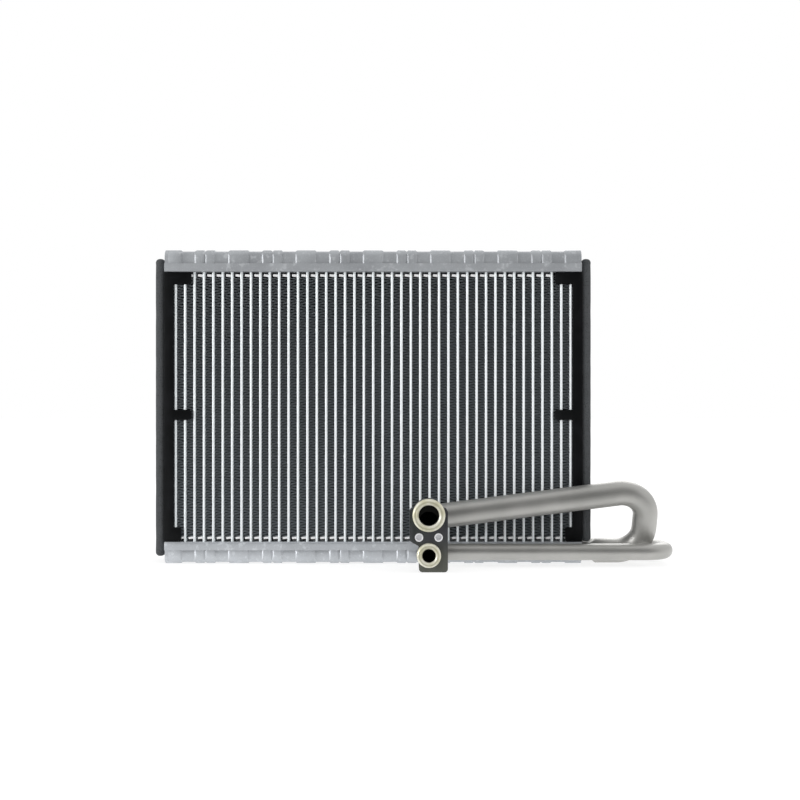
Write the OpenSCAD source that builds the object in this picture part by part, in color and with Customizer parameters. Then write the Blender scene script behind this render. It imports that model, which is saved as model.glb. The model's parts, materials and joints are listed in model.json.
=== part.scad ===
// Evaporator core: two rows of flat tubes with folded fins between two stamped tanks,
// with both refrigerant pipes brought round the right-hand end to one connection block.
// X runs along the tanks, Y from the front face to the back, Z up. The origin is the middle
// of the lower tank's underside, and the part stands there.

/* [Core] */
// Height of the core between the two tube plates
core_h = 199; // [120:1:300]
// Depth of the core from the front tube noses to the rear ones
core_d = 40; // [34:1:60]
// Distance from one flat tube to the next
tube_pitch = 6.95; // [6:0.05:9]
// Number of flat tubes in a row
tube_count = 43; // [21:2:61]
// Thickness of a flat tube
tube_t = 1.8; // [1.4:0.1:2.6]
// Wall of a flat tube
tube_wall = 0.35; // [0.25:0.05:0.5]
// How far the tube ends stand inside the tanks
tube_entry = 3; // [1:0.5:4]

/* [Fins] */
// Length of one full fold of a fin strip, drawn coarser than the stamped strip's 2.5
fin_wave = 12; // [4:0.5:20]
// Thickness of the fin strip, measured along the tanks
fin_sheet = 0.25; // [0.15:0.05:0.4]
// How far the fins stay behind the tube noses at the front and the back
fin_setback = 0.4; // [0:0.1:2]
// Bare tube between a fin strip's end and the tube plate
fin_end_gap = 2.5; // [1:0.5:6]

/* [Tanks] */
// How far the tanks reach past the side plates
tank_over = 0.5; // [0.1:0.1:0.7]
// Height of a tank from the core to its highest rib
tank_h = 16.5; // [14:0.5:24]
// Wall of the stamped tank cover
cover_t = 1.2; // [1:0.1:2]
// Sheet of the tube plate
plate_t = 1.5; // [1:0.1:2.5]
// Height of the tube plate's folded rims
rim_h = 6; // [4:0.5:9]
// Radius of the tank cover's long edges
tank_r = 6; // [3:0.5:8]
// Width of the valley between the two chambers
valley_w = 3; // [2:0.5:4]
// Distance between the wide ribs of the cover
rib_pitch = 49.6; // [44:0.2:56]
// Width of a wide rib
rib_wide = 14.2; // [10:0.2:16]
// Width of each narrow rib of a pair
rib_narrow = 6.3; // [4:0.1:7]
// Space between the narrow ribs of a pair
rib_split = 1.5; // [1:0.1:3]
// How far the ribs stand out of the cover's top
rib_h = 1.4; // [0.6:0.1:2]
// How far the ribs stand out of the cover's sides
rib_side = 0.9; // [0.4:0.1:1.4]
// Length of a rib's sloping end
rib_slope = 1.1; // [0.5:0.1:2]
// Thickness of an end cap
cap_t = 2.5; // [2:0.5:5]
// Distance of the baffles from the middle, in tube pitches
baffle_pitches = 7; // [3:1:15]
// Thickness of a baffle
baffle_t = 1.5; // [1:0.1:2.5]

/* [Sides] */
// Thickness of an aluminium side plate
side_plate_t = 1; // [0.8:0.1:1.5]
// Wall of a plastic side cover
side_cover_t = 1; // [0.8:0.1:1.5]
// Length of a cover's short face flange
flange_w = 6.8; // [5:0.1:8]
// Reach of the upper and the middle finger from the cover's outside
finger_reach = 20; // [10:0.5:30]
// Reach of the lower finger from the cover's outside
finger_reach_low = 12.5; // [8:0.5:20]
// Depth of the corner cut from each finger's end
finger_cut = 1; // [0.5:0.1:1.5]
// How far the middle finger lies below the middle of the core
finger_mid_drop = 6; // [0:0.5:12]
// Height of the upper finger
finger_h_top = 9; // [4:0.5:14]
// Height of the middle finger
finger_h_mid = 7.5; // [4:0.5:14]
// Height of the lower finger
finger_h_low = 10.5; // [4:0.5:14]
// Thickness of a foam seal strip
seal_t = 7; // [4:0.5:12]
// Height of the seal strips' upper end above the core
seal_over = 10; // [2:0.5:16]
// How far the left seal strip reaches below the core
seal_under = 11; // [2:0.5:16]
// Gap between the right seal strip and the pipe necks under it
seal_pipe_gap = 1.4; // [0.5:0.1:3]
// Radius of the seal strips' ends
seal_r = 3.4; // [1:0.2:3.4]

/* [Suction pipe] */
// Outer diameter of the suction pipe
suction_od = 18; // [13:0.5:18.5]
// Wall of the suction pipe
suction_wall = 1.5; // [1:0.1:2]
// Diameter of the necked end that enters the tank
suction_neck_d = 12; // [9:0.5:12.5]
// Length of the cone between a pipe's neck and its full diameter
neck_cone_l = 4; // [2:0.5:8]
// Bend radius of the suction pipe beside the core, at its axis
suction_bend_r = 19.5; // [17:0.5:22]
// Bend radius of the suction pipe behind the block, at its axis
suction_turn_r = 16; // [15:0.5:17]
// How far the suction pipe enters the block below its port
suction_drop = 4.8; // [0:0.1:5]
// Distance from the tank's end to the suction pipe's outermost axis
suction_reach = 46.5; // [40:0.5:60]
// Rise of the suction pipe from the block to the bend, in degrees
suction_rise = 7.3; // [0:0.1:8]

/* [Liquid pipe] */
// Outer diameter of the liquid pipe
liquid_od = 12; // [8:0.5:12.5]
// Wall of the liquid pipe
liquid_wall = 1.2; // [0.8:0.1:1.6]
// Bend radius of the liquid pipe beside the tank, at its axis
liquid_bend_r = 20; // [14:0.5:21]
// Bend radius of the liquid pipe behind the block, at its axis
liquid_turn_r = 13; // [12:0.5:14]
// How far the liquid pipe enters the block below its port
liquid_drop = 1.2; // [0:0.1:1.4]
// Distance from the tank's end to the liquid pipe's outermost axis
liquid_reach = 62; // [58:0.5:80]

/* [Connection block] */
// Clear space between the core's face and the suction pipe
pipe_gap = 3; // [2:0.5:8]
// Distance of the ports from the middle of the core
port_x = 40; // [0:0.5:90]
// Height of the suction port's axis
suction_port_z = 40.3; // [38:0.1:50]
// Height of the liquid port's axis
liquid_port_z = 12.2; // [11:0.1:14]
// Width of the block
block_w = 26.8; // [24:0.2:32]
// Height of the block's lower edge
block_z = 0.2; // [0.2:0.1:2]
// Height of the block's upper edge
block_top_z = 44.5; // [44:0.5:56]
// Thickness of the block
block_t = 12; // [11:0.5:16]
// Width of the step cut from the block's lower left corner
block_step_w = 6.5; // [4:0.5:7]
// Height at which the step meets the block's full width
block_step_z = 22; // [20:0.5:24]
// Drop of the step's sloping edge
block_step_drop = 3.6; // [2:0.2:6]
// Radius of the block's corners
block_r = 2.4; // [1:0.2:3]
// How far a pipe enters the block
pipe_entry = 5; // [3:0.5:6]
// Width of the shoulder inside the block that a pipe's bore ends on
pipe_stop = 0.8; // [0.5:0.1:1.5]
// Height of the threaded inserts' axes
insert_z = 24.6; // [24:0.1:26]
// Distance between the two threaded inserts
insert_spacing = 13.7; // [12:0.1:16]
// Outer diameter of a threaded insert
insert_d = 5.8; // [5:0.1:6]
// Hole in a threaded insert
insert_bore = 4.4; // [3:0.1:4.6]
// Depth of the threaded inserts in the block
insert_depth = 5; // [4:0.5:5.5]
// How far the inserts stand out of the block
insert_proud = 0.3; // [0:0.1:1]

/* [Port sleeves] */
// Bore of the suction port
suction_bore = 14.4; // [12:0.2:15]
// Collar diameter of the suction port
suction_collar_d = 23; // [20:0.5:23.5]
// Height of the suction port's collar
suction_collar_h = 4.5; // [3:0.5:8]
// Bore of the liquid port
liquid_bore = 9.4; // [7:0.2:10]
// Collar diameter of the liquid port
liquid_collar_d = 17; // [14:0.5:17]
// Height of the liquid port's collar
liquid_collar_h = 4.5; // [3:0.5:8]
// Wall of a sleeve inside the block
sleeve_wall = 1.8; // [1:0.1:2]
// How far a sleeve enters the block
sleeve_entry = 5; // [3:0.5:6]
// Width of the bevel round a port's mouth
mouth_bevel = 1.2; // [0.5:0.1:1.6]
// How far a collar overhangs the block's round lobe behind it
collar_over = 0.5; // [0.1:0.1:1]

/* [Hidden] */
$fn = 48;
// Clearance left on each side for the braze or the glue
fit = 0.1;
// Flat steps in each quarter of a stamped edge
edge_steps = 6;
// A cutter runs this far past the face that it cuts
past = 1;

// Core
core_z = tank_h;
core_top_z = core_z + core_h;
tube_w = core_d / 2 - (valley_w / 2 + cover_t + fit);
tube_row_y = (core_d - tube_w) / 2;
fin_w = tube_pitch - tube_t;
fin_d = core_d - 2 * fin_setback;
tubes_half = (tube_count - 1) / 2 * tube_pitch + tube_t / 2;
side_plate_x = tubes_half + fin_w;

// Tanks, in a tank's own frame: Z runs from the core's face outwards
tank_end_x = side_plate_x + side_plate_t + tank_over;
tank_l = 2 * tank_end_x;
cover_l = tank_l - 2 * cap_t;
cover_d = core_d + 2 * (fit + cover_t + rib_side);
tank_d = cover_d + 2 * (fit + plate_t);
chamber_w = (cover_d - valley_w) / 2;
chamber_y = (cover_d - chamber_w) / 2;
cavity_w = tube_w + 2 * fit;
cavity_y = tube_row_y;
cavity_h = tank_h - rib_h - cover_t - plate_t;
cavity_r = tank_r - cover_t;
pipe_port_y = cavity_y;
pipe_port_z = plate_t + cavity_h / 2;

// Sides
side_cover_x = side_plate_x + side_plate_t + fit;
side_cover_d = core_d + 2 * (fit + side_cover_t);
side_h = core_h - 2 * fit;
seal_x = side_cover_x + side_cover_t;
seal_h_left = core_h + seal_over + seal_under;

// Pipes and block
suction_y = -(core_d / 2 + pipe_gap + suction_od / 2);
block_back_y = suction_y - suction_turn_r - fit;
liquid_y = block_back_y + liquid_turn_r + fit;
lower_port_z = core_z - pipe_port_z;
suction_far_x = tank_end_x + suction_reach;
suction_leg_z = suction_port_z - suction_drop;
liquid_leg_z = liquid_port_z - liquid_drop;
suction_far_z = suction_leg_z + (suction_far_x - port_x) * tan(suction_rise);
liquid_far_x = tank_end_x + liquid_reach;
pipe_tip_x = tank_end_x - cap_t - fit;
pipe_tip_y = block_back_y - pipe_entry;
neck_l = seal_x + seal_t - pipe_tip_x;
pipe_sides = 24;
bend_step = 12;
seal_h_right = core_top_z + seal_over - (lower_port_z + max(suction_neck_d, liquid_od) / 2 + seal_pipe_gap);

// The axis of each pipe, from its tank end to the block, with a bend at each inner corner
SUCTION_ROUTE = [
    [pipe_tip_x, -pipe_port_y, lower_port_z],
    [suction_far_x, -pipe_port_y, lower_port_z],
    [suction_far_x, suction_y, suction_far_z],
    [port_x, suction_y, suction_leg_z],
    [port_x, pipe_tip_y, suction_leg_z]
];
SUCTION_RADII = [suction_bend_r, suction_bend_r, suction_turn_r];
LIQUID_ROUTE = [
    [pipe_tip_x, pipe_port_y, lower_port_z],
    [liquid_far_x, pipe_port_y, lower_port_z],
    [liquid_far_x, liquid_y, liquid_leg_z],
    [port_x, liquid_y, liquid_leg_z],
    [port_x, pipe_tip_y, liquid_leg_z]
];
LIQUID_RADII = [liquid_bend_r, liquid_bend_r, liquid_turn_r];

function arc(centre, r, from, to) = [
    for (i = [0:edge_steps])
        let (a = from + (to - from) * i / edge_steps)
        [centre[0] + r * cos(a), centre[1] + r * sin(a)]
];

// Outline of a channel standing on its open side, with round upper edges
function arch(w, h, r) = concat(
    [[-w / 2, 0], [w / 2, 0]],
    arc([w / 2 - r, h - r], r, 0, 90),
    arc([r - w / 2, h - r], r, 90, 180)
);

function unit(v) = v / norm(v);

// Where the ribs of a tank cover start and end along the tank
wide_count = ceil(tank_l / 2 / rib_pitch);
RIBS = [
    for (i = [-wide_count:wide_count])
        for (rib = [
            [i * rib_pitch - rib_wide / 2, i * rib_pitch + rib_wide / 2],
            [(i + 0.5) * rib_pitch - rib_split / 2 - rib_narrow, (i + 0.5) * rib_pitch - rib_split / 2],
            [(i + 0.5) * rib_pitch + rib_split / 2, (i + 0.5) * rib_pitch + rib_split / 2 + rib_narrow]
        ]) rib
];

// One long edge of the cover, stepping between the bare sheet and the ribs
function ribbed_edge(bare, high) = [
    for (rib = RIBS)
        for (p = [
            [rib[0] - rib_slope / 2, bare], [rib[0] + rib_slope / 2, high],
            [rib[1] - rib_slope / 2, high], [rib[1] + rib_slope / 2, bare]
        ]) p
];

module in_upper_tank() {
    translate([0, 0, core_top_z]) children();
}

module in_lower_tank() {
    translate([0, 0, core_z]) mirror([0, 0, 1]) children();
}

// Turns an outline of depth and height into a bar along X
module along_x(length) {
    rotate([90, 0, 90]) linear_extrude(length, center = true) children();
}

module flat_tube_outline(w, t) {
    square([t, w - t], center = true);
    for (s = [-1, 1]) translate([0, s * (w - t) / 2]) circle(d = t);
}

module at_tubes() {
    for (i = [0:tube_count - 1]) translate([(i - (tube_count - 1) / 2) * tube_pitch, 0, 0]) children();
}

module tube_plate() {
    base_r = plate_t;
    difference() {
        along_x(cover_l) difference() {
            rotate(180) translate([0, -rim_h]) polygon(arch(tank_d, rim_h, base_r));
            translate([-tank_d / 2 + plate_t, plate_t]) square([tank_d - 2 * plate_t, rim_h]);
        }
        for (s = [-1, 1]) translate([0, s * tube_row_y, -past])
            at_tubes() linear_extrude(plate_t + 2 * past) flat_tube_outline(tube_w + 2 * fit, tube_t + 2 * fit);
    }
}

// Both chambers stand on the tube plate, between its rims, and meet at the valley's floor
module cover_section() {
    h = tank_h - plate_t;
    difference() {
        union() {
            for (s = [-1, 1]) translate([s * chamber_y, 0]) polygon(arch(chamber_w, h, tank_r));
            translate([-valley_w, 0]) square([2 * valley_w, cover_t]);
        }
        for (s = [-1, 1]) translate([s * cavity_y, -past]) polygon(arch(cavity_w, cavity_h + past, cavity_r));
    }
}

module tank_cover() {
    low_z = tank_h - rib_h;
    low_y = cover_d / 2 - rib_side;
    side = ribbed_edge(low_y, cover_d / 2);
    reach = (wide_count + 1) * rib_pitch;
    intersection() {
        translate([0, 0, plate_t]) along_x(cover_l) cover_section();
        rotate([90, 0, 0]) linear_extrude(tank_d, center = true)
            polygon(concat([[reach, 0], [-reach, 0], [-reach, low_z]], ribbed_edge(low_z, tank_h), [[reach, low_z]]));
        linear_extrude(tank_h + past)
            polygon(concat(
                [[-reach, low_y]], side, [[reach, low_y], [reach, -low_y]],
                [for (i = [len(side) - 1:-1:0]) [side[i][0], -side[i][1]]], [[-reach, -low_y]]
            ));
    }
}

module cap_outline() {
    polygon(arch(cover_d, tank_h, tank_r));
    rotate(180) translate([0, -rim_h]) polygon(arch(tank_d, rim_h, plate_t));
}

// A cap closes one end of a tank: bosses locate it in the chambers, pipes take their place
module end_cap(side, bosses) {
    translate([side * (tank_l - cap_t) / 2, 0, 0]) {
        difference() {
            along_x(cap_t) cap_outline();
            if (!bosses) {
                translate([0, -pipe_port_y, pipe_port_z])
                    rotate([0, 90, 0]) cylinder(h = cap_t + 2 * past, d = suction_neck_d + 2 * fit, center = true);
                translate([0, pipe_port_y, pipe_port_z])
                    rotate([0, 90, 0]) cylinder(h = cap_t + 2 * past, d = liquid_od + 2 * fit, center = true);
            }
        }
        if (bosses) for (s = [-1, 1]) translate([-side * cap_t, s * cavity_y, plate_t + fit])
            along_x(cap_t) polygon(arch(cavity_w - 2 * fit, cavity_h - 2 * fit, cavity_r));
    }
}

// A baffle closes a chamber between two tubes, so the refrigerant goes up and down in passes
module baffle(x, row) {
    translate([x, row * cavity_y, plate_t])
        along_x(baffle_t) polygon(arch(cavity_w - 2 * fit, cavity_h - fit, cavity_r));
}

module tube_row(row) {
    h = core_h + 2 * (plate_t + tube_entry);
    color("gainsboro") translate([0, row * tube_row_y, core_z - plate_t - tube_entry])
        at_tubes() linear_extrude(h) difference() {
            flat_tube_outline(tube_w, tube_t);
            flat_tube_outline(tube_w - 2 * tube_wall, tube_t - 2 * tube_wall);
        }
}

// A strip folded to and fro between two tubes, touching each with its crests
module fin_strip() {
    h = core_h - 2 * fin_end_gap;
    folds = 2 * round(h / fin_wave);
    line = [for (i = [0:folds]) [(i % 2 == 0 ? -fin_w / 2 : fin_w / 2 - fin_sheet), i * h / folds]];
    back = [for (i = [folds:-1:0]) line[i] + [fin_sheet, 0]];
    rotate([90, 0, 0]) linear_extrude(fin_d, center = true) polygon(concat(line, back));
}

module fin_packs() {
    color("dimgray") translate([0, 0, core_z + fin_end_gap])
        for (i = [0:tube_count]) translate([(i - tube_count / 2) * tube_pitch, 0, 0]) fin_strip();
}

module side_plate(side) {
    color("silver") translate([side * (side_plate_x + side_plate_t / 2), 0, core_z + core_h / 2])
        cube([side_plate_t, fin_d, side_h], center = true);
}

// One finger lies on the core's face, on the front and on the back
module finger(side, low, h, reach) {
    for (s = [-1, 1]) translate([side * (seal_x - reach / 2), s * (side_cover_d - side_cover_t) / 2, low + h / 2])
        rotate([90, 0, 0]) linear_extrude(side_cover_t, center = true) difference() {
            square([reach, h], center = true);
            for (t = [-1, 1]) translate([-side * reach / 2, t * h / 2]) rotate(45) square(finger_cut * sqrt(2), center = true);
        }
}

module side_cover(side) {
    low = core_z + fit;
    color([0.1, 0.1, 0.11]) {
        translate([side * (seal_x - flange_w / 2), 0, low + side_h / 2]) difference() {
            cube([flange_w, side_cover_d, side_h], center = true);
            translate([-side * side_cover_t, 0, 0])
                cube([flange_w, side_cover_d - 2 * side_cover_t, side_h + 2 * past], center = true);
        }
        finger(side, low + side_h - finger_h_top, finger_h_top, finger_reach);
        finger(side, low + (side_h - finger_h_mid) / 2 - finger_mid_drop, finger_h_mid, finger_reach);
        finger(side, low, finger_h_low, finger_reach_low);
    }
}

module seal_strip(side, low, h) {
    color([0.13, 0.13, 0.14]) translate([side * (seal_x + seal_t / 2), 0, low])
        rotate([90, 0, 0]) linear_extrude(core_d, center = true)
        polygon(concat(
            arc([seal_t / 2 - seal_r, h - seal_r], seal_r, 0, 90), arc([seal_r - seal_t / 2, h - seal_r], seal_r, 90, 180),
            arc([seal_r - seal_t / 2, seal_r], seal_r, 180, 270), arc([seal_t / 2 - seal_r, seal_r], seal_r, 270, 360)
        ));
}

// Turns a vector by an angle from one unit vector towards another at right angles to it
function swung(v, from, to, angle) =
    let (f = v * from, t = v * to)
    v + (f * (cos(angle) - 1) - t * sin(angle)) * from + (t * (cos(angle) - 1) + f * sin(angle)) * to;

// The rings of a bent pipe after the ring at its start. Each ring is a centre with two unit
// vectors across the pipe, so a ring never twists against the one before it.
function bent_rings(route, radii, across, up, i = 0) =
    let (ahead = unit(route[i + 1] - route[i]))
    i == len(route) - 2 ? [[route[i + 1], across, up]] :
    let (
        next = unit(route[i + 2] - route[i + 1]),
        bend = acos(ahead * next),
        inward = unit(next - (next * ahead) * ahead),
        start = route[i + 1] - radii[i] * tan(bend / 2) * ahead,
        centre = start + radii[i] * inward,
        steps = ceil(bend / bend_step)
    )
    concat(
        [for (k = [0:steps]) let (a = bend * k / steps) [
            centre + swung(start - centre, ahead, inward, a),
            swung(across, ahead, inward, a),
            swung(up, ahead, inward, a)
        ]],
        bent_rings(route, radii, swung(across, ahead, inward, bend), swung(up, ahead, inward, bend), i + 1)
    );

function ring_points(ring, r) = [
    for (i = [0:pipe_sides - 1])
        let (a = 360 * i / pipe_sides)
        ring[0] + r * cos(a) * ring[1] + r * sin(a) * ring[2]
];

// A bent pipe as one closed skin: out along the outside, back along the bore. It leaves the
// tank along X. A neck is the narrow length at the tank's end, and the cone that follows it.
module bent_pipe(route, radii, od, wall, neck_d, neck, cone) {
    across = [0, 1, 0];
    up = [0, 0, 1];
    rings = concat(
        [[route[0], across, up], [route[0] + [neck, 0, 0], across, up], [route[0] + [neck + cone, 0, 0], across, up]],
        bent_rings(route, radii, across, up)
    );
    count = len(rings);
    function ring_r(i) = (i < 2 ? neck_d : od) / 2;
    skin = concat(
        [for (i = [0:count - 1]) ring_points(rings[i], ring_r(i))],
        [for (i = [count - 1:-1:0]) ring_points(rings[i], ring_r(i) - wall)]
    );
    loops = len(skin);
    polyhedron(
        points = [for (ring = skin) for (p = ring) p],
        faces = [
            for (i = [0:loops - 1]) for (j = [0:pipe_sides - 1])
                let (k = (i + 1) % loops, l = (j + 1) % pipe_sides)
                for (half = [[[i, j], [k, l], [i, l]], [[i, j], [k, j], [k, l]]])
                    [for (corner = half) corner[0] * pipe_sides + corner[1]]
        ]
    );
}

module suction_pipe() {
    color("darkgray")
        bent_pipe(SUCTION_ROUTE, SUCTION_RADII, suction_od, suction_wall, suction_neck_d, neck_l, neck_cone_l);
}

module liquid_pipe() {
    color("darkgray") bent_pipe(LIQUID_ROUTE, LIQUID_RADII, liquid_od, liquid_wall, liquid_od, neck_l, neck_cone_l);
}

// The block swells round each port, so its wall stays whole behind the collar
module block_lobe(z, collar_d) {
    translate([port_x, block_back_y, z]) rotate([90, 0, 0]) cylinder(h = block_t, d = collar_d - 2 * collar_over);
}

// A passage through the block: the pipe enters at the back and the sleeve at the front
module block_port(z, drop, od, wall, sleeve_d) {
    translate([port_x, block_back_y, z - drop]) rotate([90, 0, 0]) {
        translate([0, 0, -past]) cylinder(h = pipe_entry + fit + past, d = od + 2 * fit);
        cylinder(h = block_t - sleeve_entry, d = od - 2 * (wall + pipe_stop));
    }
    translate([port_x, block_back_y - block_t + sleeve_entry + fit, z])
        rotate([90, 0, 0]) cylinder(h = sleeve_entry + fit + past, d = sleeve_d + 2 * fit);
}

module connection_block() {
    left = port_x - block_w / 2;
    right = port_x + block_w / 2;
    step_x = left + block_step_w;
    step_low_z = block_step_z - block_step_drop;
    color([0.3, 0.3, 0.32]) difference() {
        union() {
            translate([0, block_back_y, 0]) rotate([90, 0, 0]) linear_extrude(block_t) polygon(concat(
                arc([right - block_r, block_top_z - block_r], block_r, 0, 90),
                arc([left + block_r, block_top_z - block_r], block_r, 90, 180),
                [[left, block_step_z], [step_x, step_low_z]],
                arc([step_x + block_r, block_z + block_r], block_r, 180, 270),
                arc([right - block_r, block_z + block_r], block_r, 270, 360)
            ));
            block_lobe(suction_port_z, suction_collar_d);
            block_lobe(liquid_port_z, liquid_collar_d);
        }
        block_port(suction_port_z, suction_drop, suction_od, suction_wall, suction_bore + 2 * sleeve_wall);
        block_port(liquid_port_z, liquid_drop, liquid_od, liquid_wall, liquid_bore + 2 * sleeve_wall);
        at_inserts() translate([0, 0, -insert_depth - fit]) cylinder(h = insert_depth + fit + past, d = insert_d + 2 * fit);
    }
}

// A turned sleeve: its spigot sits in the block and its collar stands in front of it
module port_sleeve(z, bore, collar_d, collar_h) {
    spigot_r = bore / 2 + sleeve_wall;
    color([0.8, 0.78, 0.68]) translate([port_x, block_back_y - block_t, z]) rotate([90, 0, 0]) rotate_extrude()
        polygon([
            [bore / 2, -sleeve_entry], [spigot_r, -sleeve_entry], [spigot_r, 0], [collar_d / 2, 0],
            [collar_d / 2, collar_h - mouth_bevel], [collar_d / 2 - mouth_bevel, collar_h],
            [bore / 2 + mouth_bevel, collar_h], [bore / 2, collar_h - mouth_bevel]
        ]);
}

module at_inserts() {
    for (s = [-1, 1]) translate([port_x + s * insert_spacing / 2, block_back_y - block_t, insert_z])
        rotate([90, 0, 0]) children();
}

module threaded_inserts() {
    color("white") at_inserts() difference() {
        translate([0, 0, -insert_depth]) cylinder(h = insert_depth + insert_proud, d = insert_d);
        translate([0, 0, -insert_depth + past]) cylinder(h = insert_depth + insert_proud, d = insert_bore);
    }
}

color("darkgray") in_upper_tank() tube_plate();  // upper_tube_plate
color("darkgray") in_upper_tank() tank_cover();  // upper_tank_cover
color("darkgray") in_upper_tank() end_cap(-1, true);  // upper_left_cap
color("darkgray") in_upper_tank() end_cap(1, true);  // upper_right_cap
color("silver") in_upper_tank() {  // upper_baffles
    baffle(-(baffle_pitches + 0.5) * tube_pitch, -1);
    baffle(-(baffle_pitches + 0.5) * tube_pitch, 1);
}
color("lightgray") in_lower_tank() tube_plate();  // lower_tube_plate
color("lightgray") in_lower_tank() tank_cover();  // lower_tank_cover
color("lightgray") in_lower_tank() end_cap(-1, true);  // lower_left_cap
color("lightgray") in_lower_tank() end_cap(1, false);  // lower_right_cap
color("silver") in_lower_tank() {  // lower_baffles
    baffle((baffle_pitches + 0.5) * tube_pitch, -1);
    baffle((baffle_pitches + 0.5) * tube_pitch, 1);
}
tube_row(-1);  // front_tubes
tube_row(1);  // rear_tubes
fin_packs();
side_plate(-1);  // left_side_plate
side_plate(1);  // right_side_plate
side_cover(-1);  // left_side_cover
side_cover(1);  // right_side_cover
seal_strip(-1, core_z - seal_under, seal_h_left);  // left_seal_strip
seal_strip(1, core_top_z + seal_over - seal_h_right, seal_h_right);  // right_seal_strip
suction_pipe();
liquid_pipe();
connection_block();
port_sleeve(suction_port_z, suction_bore, suction_collar_d, suction_collar_h);  // suction_port_sleeve
port_sleeve(liquid_port_z, liquid_bore, liquid_collar_d, liquid_collar_h);  // liquid_port_sleeve
threaded_inserts();
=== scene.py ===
# %% [markdown]
# An evaporator core
#
# This is the heat exchanger that sits in the air box of a vehicle's air conditioning. Flat
# aluminium tubes run between two stamped tanks, with a folded fin strip in each gap. Two pipes
# leave the lower tank and end in one dark block at the front.
#
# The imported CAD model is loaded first. It fixes every size and place, and each piece made here
# lies where the CAD node that it stands for lies. Lengths are in metres.

# %% Frame
import json
import math

import bpy
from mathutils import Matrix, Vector

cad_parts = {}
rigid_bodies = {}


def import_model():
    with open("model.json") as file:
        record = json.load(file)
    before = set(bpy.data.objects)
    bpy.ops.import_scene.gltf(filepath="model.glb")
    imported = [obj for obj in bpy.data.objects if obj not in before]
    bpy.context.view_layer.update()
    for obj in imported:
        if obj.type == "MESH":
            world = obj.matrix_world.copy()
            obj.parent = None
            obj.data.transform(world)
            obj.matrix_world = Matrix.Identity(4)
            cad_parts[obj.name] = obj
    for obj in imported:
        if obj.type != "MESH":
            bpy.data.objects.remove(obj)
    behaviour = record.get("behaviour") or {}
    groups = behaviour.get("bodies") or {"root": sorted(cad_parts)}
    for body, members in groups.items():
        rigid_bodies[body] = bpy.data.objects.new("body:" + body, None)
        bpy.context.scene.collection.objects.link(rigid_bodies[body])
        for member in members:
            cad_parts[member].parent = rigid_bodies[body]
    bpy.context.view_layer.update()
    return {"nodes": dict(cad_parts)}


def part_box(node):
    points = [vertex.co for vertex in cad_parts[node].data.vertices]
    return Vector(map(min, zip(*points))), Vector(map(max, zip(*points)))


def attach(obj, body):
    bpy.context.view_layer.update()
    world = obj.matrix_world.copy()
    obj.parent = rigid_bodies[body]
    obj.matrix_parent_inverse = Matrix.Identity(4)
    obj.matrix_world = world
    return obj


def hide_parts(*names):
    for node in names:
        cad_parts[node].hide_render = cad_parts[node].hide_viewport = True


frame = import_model()
MM = 0.001
nodes = frame["nodes"]
print("CAD nodes:", len(nodes))


def box(node):
    """The lowest and the highest corner of a CAD node."""
    low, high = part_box(node)
    return Vector(low), Vector(high)


# %% [markdown]
# The camera
#
# The photograph looks straight at the core's front, from a little right of its middle and at
# half its height. The tanks show no top or bottom face, so the camera is level. It could be
# made orthographic, as in a drawing, but the pipes' bend shows that the view has real
# perspective: a lens of about 48 mm from 0.8 m away.

# %% Camera
CAMERA_PLACE = (19.8 * MM, -810 * MM, 121 * MM)
SENSOR_WIDTH = 36
LENS = 48.15
camera = bpy.data.objects.new("camera", bpy.data.cameras.new("camera"))
bpy.context.scene.collection.objects.link(camera)
camera.location = CAMERA_PLACE
camera.rotation_euler = (math.radians(90), 0, 0)
camera.data.sensor_width = SENSOR_WIDTH
camera.data.lens = LENS
bpy.context.scene.camera = camera
bpy.context.scene.view_settings.view_transform = "Standard"
print("Camera:", CAMERA_PLACE, "with a lens of", LENS, "mm")

# %% [markdown]
# Shader maths
#
# A finish could be built by adding each node and each link by hand, but a formula is easier to
# read than a chain. `Signal` wraps one socket, so that `1 - mask * 0.3` adds its Math nodes.
# `Tree` adds any other node by one method, and `Finish` is the tree of a material.


# %% Shader helpers
class Signal:
    """One output socket of a tree. Arithmetic on it adds Math nodes."""

    def __init__(self, owner, socket):
        self.owner, self.socket = owner, socket

    def maths(self, operation, *values, clamp=False):
        return self.owner.add("ShaderNodeMath", {"operation": operation, "use_clamp": clamp}, *values)

    def __add__(self, other):
        return self.maths("ADD", self, other)

    def __mul__(self, other):
        return self.maths("MULTIPLY", self, other)

    def __sub__(self, other):
        return self.maths("SUBTRACT", self, other)

    def __rsub__(self, other):
        return self.maths("SUBTRACT", other, self)

    def __truediv__(self, other):
        return self.maths("DIVIDE", self, other)

    def __rtruediv__(self, other):
        return self.maths("DIVIDE", other, self)

    __radd__ = __add__
    __rmul__ = __mul__

    def __abs__(self):
        return self.maths("ABSOLUTE", self)

    def sine(self):
        return self.maths("SINE", self)

    def at_least(self, other):
        return self.maths("MAXIMUM", self, other)

    def above(self, edge, soft=0.1):
        """0 below the edge and 1 above it, with a soft step between."""
        return self.maths("MULTIPLY_ADD", self, 1 / soft, 0.5 - edge / soft, clamp=True)


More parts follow.
